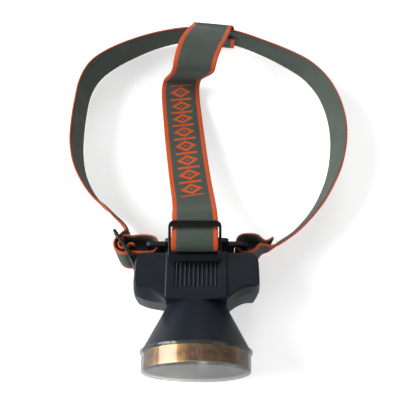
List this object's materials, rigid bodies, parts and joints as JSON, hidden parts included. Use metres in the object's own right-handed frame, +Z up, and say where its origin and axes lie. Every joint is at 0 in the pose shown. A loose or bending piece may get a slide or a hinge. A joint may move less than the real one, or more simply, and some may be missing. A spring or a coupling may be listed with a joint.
{
  "type": "headlamp",
  "caption": "Rechargeable headlamp: cone-shaped lamp head that tilts on a bracket, with an adjustable elastic head band and over-head strap.",
  "frame": {"origin": "centre of the forehead pad's rear face", "axes": "+Z up with the lamp lying on a table, the beam leaves towards -Y and 13 degrees upward, +X to the wearer's left when worn"},
  "size_m": [0.2015, 0.2698, 0.0718],
  "materials": {
    "housing_plastic": "satin slate blue-grey ABS",
    "black_plastic": "satin black nylon",
    "clear_plastic": "clear polycarbonate",
    "gold_film": "brushed gold metallised film",
    "mirror_coat": "vacuum-metallised",
    "white_plastic": "matte",
    "emitter_phosphor": "clear dome over yellow phosphor",
    "board_white": "white solder mask",
    "board_green": "green solder mask",
    "chip_black": "moulded epoxy",
    "aluminium": "turned",
    "cell_wrap": "shrink wrap",
    "nickel": "plated strip",
    "steel": "zinc plated",
    "wire_insulation": "soft PVC",
    "black_rubber": "moulded silicone",
    "foam": "closed-cell foam",
    "indicator_lens": "frosted light pipe",
    "webbing": "woven elastic, grey-green with orange edges"
  },
  "bodies": {
    "bracket_and_straps": {"back_plate": "black_plastic", "hinge_pin": "steel", "forehead_pad": "foam", "head_band": "webbing", "top_strap": "webbing"},
    "lamp_head": {"front_housing": "housing_plastic", "rear_cover": "housing_plastic", "housing_screws": "steel", "lens_cap": "clear_plastic", "trim_band": "gold_film", "lens_gasket": "black_rubber", "reflector": "mirror_coat", "led_board": "board_white", "led_emitter": "emitter_phosphor", "led_centring_ring": "white_plastic", "heat_sink": "aluminium", "battery_cell": "cell_wrap", "battery_tabs": "nickel", "driver_board": "board_green", "driver_components": "chip_black", "switch_body": "chip_black", "usb_socket": "nickel", "charge_indicator": "indicator_lens", "led_wires": "wire_insulation", "battery_wires": "wire_insulation"},
    "push_button": {"switch_button": "black_rubber"},
    "port_flap": {"port_cover": "black_rubber"},
    "band_adjuster": {"band_slider": "black_plastic"},
    "top_adjuster": {"top_slider": "black_plastic"}
  },
  "joints": [
    {"name": "lamp_tilt", "type": "hinge", "parent": "bracket_and_straps", "child": "lamp_head", "pos_m": [0, -0.01005, -0.01595], "axis": [1, 0, 0], "range_deg": [0, 75]},
    {"name": "switch_press", "type": "slide", "parent": "lamp_head", "child": "push_button", "axis": [0, 0.225, 0.9744], "range_m": [0, 0.001], "stiffness_N_per_m": 500},
    {"name": "port_flap_hinge", "type": "hinge", "parent": "lamp_head", "child": "port_flap", "pos_m": [0.0408, -0.02471, -0.00476], "axis": [0, 0.9744, -0.225], "range_deg": [0, 110]},
    {"name": "band_slider_slide", "type": "slide", "parent": "bracket_and_straps", "child": "band_adjuster", "axis": [-1, 0, 0], "range_m": [0, 0.006], "deforming": ["head_band"]},
    {"name": "top_slider_slide", "type": "slide", "parent": "bracket_and_straps", "child": "top_adjuster", "axis": [0, 1, 0], "range_m": [0, 0.006], "deforming": ["top_strap"]}
  ]
}
